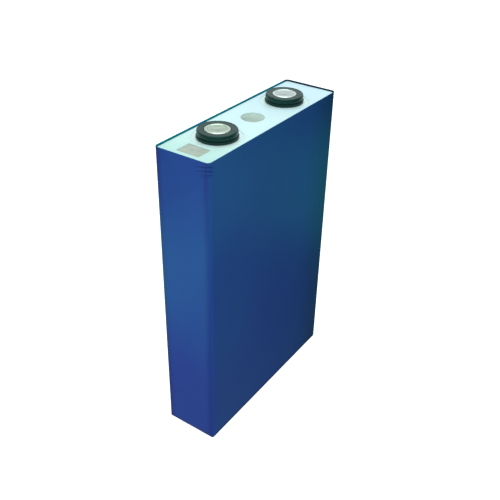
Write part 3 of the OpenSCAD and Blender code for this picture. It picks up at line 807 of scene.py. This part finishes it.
def collar_profile():
    foot_r, shoulder_r, lip_r = 0.22 * MM, 0.8 * MM, 0.15 * MM
    dish_r, dish = 10.35 * MM, 0.12 * MM
    rest = PAD_R + 0.5 * MM
    profile = [(SEAL_R, COVER_Z), (COLLAR_FOOT_R - foot_r, COVER_Z)]
    profile += arc((COLLAR_FOOT_R - foot_r, COVER_Z + foot_r), foot_r, -90, 0, 3)
    profile += arc((COLLAR_FOOT_R - foot_r, FOOT_TOP - foot_r), foot_r, 0, 90, 3)
    profile += [(NECK_R + SOFT, FOOT_TOP), (NECK_R, FOOT_TOP + SOFT)]
    profile += [(NECK_R, NECK_TOP - SOFT), (NECK_R + SOFT, NECK_TOP)]
    profile += arc((COLLAR_R - lip_r, NECK_TOP + lip_r), lip_r, -90, 0, 3)
    profile += arc((COLLAR_R - shoulder_r, COLLAR_TOP - shoulder_r), shoulder_r, 0, 90, 8)
    profile += [(dish_r + 0.15 * MM, COLLAR_TOP), (dish_r, COLLAR_TOP - dish)]
    profile += [(rest + 0.25 * MM, COLLAR_TOP - dish)]
    profile += arc((rest + SOFT, COLLAR_TOP - dish - lip_r), lip_r, 90, 160, 3)
    profile += [(PAD_R, COLLAR_TOP - 0.55 * MM), (PAD_R, FLANGE_HIGH), (FLANGE_R, FLANGE_HIGH)]
    profile += [(FLANGE_R, FLANGE_LOW), (SEAL_R, FLANGE_LOW), (SEAL_R, COVER_Z)]
    return profile


def pad_profile():
    """The pad's flange, its wide bevel, its flat face and the well round the riveted head."""
    bevel_w, bevel_h, well = 0.7 * MM, 0.3 * MM, 0.25 * MM
    profile = [(SHANK_R, FLANGE_LOW), (FLANGE_R, FLANGE_LOW), (FLANGE_R, FLANGE_HIGH), (PAD_R, FLANGE_HIGH)]
    profile += [(PAD_R, PAD_TOP - bevel_h - 0.08 * MM), (PAD_R - 0.03 * MM, PAD_TOP - bevel_h)]
    profile += [(PAD_R - bevel_w, PAD_TOP - 0.01 * MM), (PAD_R - bevel_w - 0.06 * MM, PAD_TOP)]
    profile += [(RIVET_R + 0.34 * MM, PAD_TOP), (RIVET_R + 0.28 * MM, PAD_TOP - 0.02 * MM)]
    profile += [(RIVET_R, PAD_TOP - well), (RIVET_R, SEAT_Z), (SHANK_R, SEAT_Z), (SHANK_R, FLANGE_LOW)]
    return profile


def head_profile():
    """A riveted head above its shank: a rounded rim, a shallow dish and a small pit in the middle."""
    top, rim_r, dish, step = PAD_TOP - 0.15 * MM, 0.18 * MM, 0.10 * MM, 0.08 * MM
    bottom = top - dish
    profile = [(SHANK_R, SEAT_Z), (RIVET_R, SEAT_Z)]
    profile += arc((RIVET_R - rim_r, top - rim_r), rim_r, 0, 90, 4)
    profile += [(RIVET_R - 0.6 * MM, top), (RIVET_R - 0.75 * MM, top - dish / 2)]
    profile += [(RIVET_R - 0.95 * MM, bottom), (1.2 * MM, bottom)]
    profile += [(1.0 * MM, bottom - step), (0.35 * MM, bottom - 2 * step)]
    return profile + [(0, bottom - 2 * step - 0.01 * MM)]


def positive_post_profile():
    """The positive post is one piece, down to its flange and the boss welded into the collector."""
    low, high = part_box("positive_post")
    flange_r = (high.x - low.x) / 2
    flange_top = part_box("positive_seal")[0].z
    flange_low = flange_top - 1.6 * MM
    boss_r, chamfer = 3.5 * MM, 0.2 * MM
    profile = [(0, low.z), (boss_r, low.z), (boss_r, flange_low), (flange_r - chamfer, flange_low)]
    profile += [(flange_r, flange_low + chamfer), (flange_r, flange_top - chamfer)]
    profile += [(flange_r - chamfer, flange_top), (SHANK_R, flange_top)]
    return profile + head_profile()


def negative_cap_profile():
    """The negative post's aluminium cap ends where it is welded to the copper foot."""
    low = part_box("negative_post_cap")[0].z
    return [(0, low), (SHANK_R, low)] + head_profile()


def make_collars_and_pads():
    plastic = collar_look()
    for pole, (centre, tint) in TERMINALS.items():
        collar = lathe(pole + "_collar_ring", collar_profile(), centre, plastic, steps=144, sharp_angle=35)
        stand_for(collar, "collar", pole + "_collar")
        metal = turned_metal(pole + "_pad_metal", centre, tint, roughness=0.26, ring_scale=2600)
        pad = lathe(pole + "_pad_disc", pad_profile(), centre, metal, steps=144)
        stand_for(pad, "pad", pole + "_pad")


def make_post_heads():
    heads = {
        "positive": ("positive_post_turned", positive_post_profile(), "positive_post", "positive_post"),
        "negative": ("negative_post_cap_turned", negative_cap_profile(), "post_cap", "negative_post_cap"),
    }
    for pole, (name, profile, slot, node) in heads.items():
        centre, tint = TERMINALS[pole]
        tint = shaded(tint, 0.86)
        metal = turned_metal(pole + "_head_metal", centre, tint, roughness=0.3, ring_scale=3400)
        stand_for(lathe(name, profile, centre, metal), slot, node)


# ---------------------------------------------------------------- CAD nodes that stay, with better materials


def finish_inner_nodes():
    finishes = {
        rolled_metal("drawn_aluminium", (0.50, 0.60, 0.60), 0.18): ("can", "vent_disc", "fill_seal_disc"),
        cover_look(): ("cover_plate",),
        rolled_metal("aluminium_foil", (0.86, 0.87, 0.88), 0.22, 0.92):
            ("positive_collector", "positive_tabs_front", "positive_tabs_back"),
        rolled_metal("copper", (0.83, 0.44, 0.28), 0.28):
            ("negative_post", "negative_collector", "negative_tabs_front", "negative_tabs_back"),
        moulded_look("natural_polypropylene", (0.72, 0.73, 0.68)):
            ("positive_lower_insulator", "negative_lower_insulator", "vent_guard", "support_plate"),
        moulded_look("brown_rubber", (0.10, 0.045, 0.02), 0.6): ("positive_seal", "negative_seal"),
        moulded_look("black_rubber", (0.02, 0.02, 0.02), 0.65): ("fill_plug",),
        moulded_look("amber_tape", (0.60, 0.30, 0.04), 0.25, 0.85, 60):
            ("positive_weld_tape", "negative_weld_tape"),
        moulded_look("green_tape", (0.02, 0.24, 0.10), 0.3, 0.85, 60):
            ("front_end_tape", "back_end_tape", "core_band"),
        moulded_look("cathode_coating", (0.022, 0.022, 0.025), 0.75, 0.7, 300, 0.25):
            ("front_cathode", "back_cathode"),
        moulded_look("anode_coating", (0.045, 0.04, 0.038), 0.6, 0.75, 300, 0.3):
            ("front_anode", "back_anode"),
        moulded_look("separator_film", (0.85, 0.86, 0.86), 0.4, 0.93, 80):
            ("front_inner_separator", "front_outer_separator", "back_inner_separator",
             "back_outer_separator"),
        moulded_look("bag_film", (0.62, 0.72, 0.76), 0.2, 0.92, 40): ("insulation_bag",),
    }
    for look, nodes in finishes.items():
        for node in nodes:
            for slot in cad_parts[node].material_slots:
                slot.material = look


# ---------------------------------------------------------------- Stage

FLOOR_REACH = 30.0
FLOOR_GREYS = ((0.60, 0.60, 0.60), (0.62, 0.62, 0.62))
FLOOR_GLOW = 0.75
SKY = (0.88, 0.99, 1.0)
SKY_POWER = (0.55, 0.95)                 # towards the camera's side, and beyond the cell
FAR_AZIMUTH = math.radians(34)           # direction of the brighter sky, counted from X
RIGHT_AZIMUTH = math.radians(45)         # directions of the studio's right and left parts
LEFT_AZIMUTH = math.radians(145)
DIM = ((0.02, 0.06, 0.01), (0.12, 0.25, 0.35), (0.22, 0.15, 0.23))     # below the horizon, right to left
GLOW = ((0.03, 0.38, 0.28), (0.17, 0.62, 0.66), (0.26, 0.95, 0.80))    # the soft band in it
GLOW_BAND = ((0.40, 0), (0.46, 1), (0.54, 1), (0.58, 0))   # its height, 1 being level, and its strength
GLOW_TILT = math.radians(3.6)            # the band sinks towards its left end by this angle
VIEW_AZIMUTH = math.radians(-55.92)
VIEW_ELEVATION = math.radians(32.8)
VIEW_DISTANCE = 0.4557
VIEW_ROLL = math.radians(1.21)
VIEW_TARGET = Vector((0.08 * MM, 0, 105.26 * MM))
LENS = 50.81


def make_camera():
    back = Vector((
        math.sin(VIEW_AZIMUTH) * math.cos(VIEW_ELEVATION),
        -math.cos(VIEW_AZIMUTH) * math.cos(VIEW_ELEVATION),
        math.sin(VIEW_ELEVATION),
    ))
    data = bpy.data.cameras.new("camera")
    data.lens = LENS
    data.clip_start = 10 * MM
    camera = bpy.data.objects.new("camera", data)
    camera.rotation_mode = "QUATERNION"
    camera.rotation_quaternion = back.to_track_quat("Z", "Y") @ Quaternion((0, 0, 1), VIEW_ROLL)
    camera.location = VIEW_TARGET + back * VIEW_DISTANCE
    bpy.context.scene.collection.objects.link(camera)
    bpy.context.scene.camera = camera


def make_floor():
    look = Look("pale_floor", FLOOR_GREYS[0], 0.7, specular=0.1)
    look.colour(look.mixed(look.noise(6, 2), *FLOOR_GREYS))
    look.shader.inputs["Emission Color"].default_value = (1, 1, 1, 1)
    look.shader.inputs["Emission Strength"].default_value = FLOOR_GLOW
    corners = [(sx * FLOOR_REACH, sy * FLOOR_REACH, 0) for sx, sy in ((-1, -1), (1, -1), (1, 1), (-1, 1))]
    floor = mesh_piece("floor", corners, [(0, 1, 2, 3)], [look.material])
    floor.visible_glossy = False
    floor.visible_diffuse = False


def make_world():
    """A bright even sky. Below it the studio is dim, with one soft band of light for the film to mirror."""
    world = bpy.data.worlds.new("studio")
    bpy.context.scene.world = world
    world.use_nodes = True
    tree = world.node_tree
    direction = tree.nodes.new("ShaderNodeTexCoord").outputs["Generated"]

    def along(axis, low, high):
        """How far a direction points along an axis, from 0 at low to 1 at high."""
        dot = tree.nodes.new("ShaderNodeVectorMath")
        dot.operation = "DOT_PRODUCT"
        dot.inputs[1].default_value = axis
        tree.links.new(direction, dot.inputs[0])
        node = tree.nodes.new("ShaderNodeMapRange")
        tree.links.new(dot.outputs["Value"], node.inputs["Value"])
        node.inputs["From Min"].default_value = low
        node.inputs["From Max"].default_value = high
        return node.outputs[0]

    def mix(factor, a, b):
        node = tree.nodes.new("ShaderNodeMix")
        node.data_type = "RGBA"
        tree.links.new(factor, node.inputs["Factor"])
        for socket, colour in ((node.inputs[6], a), (node.inputs[7], b)):
            if isinstance(colour, tuple):
                socket.default_value = (*colour, 1)
            else:
                tree.links.new(colour, socket)
        return node.outputs[2]

    left_x, left_y = math.cos(LEFT_AZIMUTH), math.sin(LEFT_AZIMUTH)
    tilted_up = (math.sin(GLOW_TILT) * left_x, math.sin(GLOW_TILT) * left_y, math.cos(GLOW_TILT))
    band = tree.nodes.new("ShaderNodeValToRGB")
    tree.links.new(along(tilted_up, -1, 0), band.inputs[0])
    stops = band.color_ramp.elements
    stops[0].color = stops[1].color = (0, 0, 0, 1)
    for height, share in GLOW_BAND:
        stops.new(height).color = (share, share, share, 1)
    left = along((left_x, left_y, 0), -0.8, 0.8)
    front = along((-math.cos(RIGHT_AZIMUTH), -math.sin(RIGHT_AZIMUTH), 0), -0.28, -0.08)
    dim, glow = (mix(left, mix(front, *colours[:2]), colours[2]) for colours in (DIM, GLOW))
    below = mix(band.outputs[0], dim, glow)
    far = along((math.cos(FAR_AZIMUTH), math.sin(FAR_AZIMUTH), 0), 0.1, 0.9)
    above = mix(far, *(shaded(SKY, power) for power in SKY_POWER))
    horizon = along((0, 0, 1), -0.1, 0)
    tree.links.new(mix(horizon, below, above), tree.nodes["Background"].inputs[0])


def area_light(name, place, target, size, power, colour, mirrored=True):
    light = bpy.data.lights.new(name, "AREA")
    light.shape = "RECTANGLE"
    light.size, light.size_y = size
    light.energy = power
    light.color = colour
    lamp = bpy.data.objects.new(name, light)
    lamp.location = place
    lamp.rotation_euler = (Vector(target) - Vector(place)).to_track_quat("-Z", "Y").to_euler()
    lamp.visible_camera = False
    lamp.visible_glossy = mirrored
    bpy.context.scene.collection.objects.link(lamp)


def make_lights():
    strip = (0.1, 0.26)
    area_light("overhead", (0.1, 0.0, 1.5), (0, 0, 0.1), (1.4, 1.4), 13, (0.91, 1, 1))
    area_light("side", (-0.36, -0.19, 0.12), (-0.02, 0, 0.10), strip, 1.5, (0.95, 1, 1), False)
    area_light("left", (-0.40, 0.16, 0.12), (-0.06, 0, 0.10), strip, 0.43, (0.95, 1, 1), False)


make_camera()
make_wrap()
make_top_sheet()
make_code_patch()
make_vent_film()
make_collars_and_pads()
make_post_heads()
finish_inner_nodes()
make_floor()
make_world()
make_lights()
bpy.context.scene.view_settings.view_transform = "Standard"
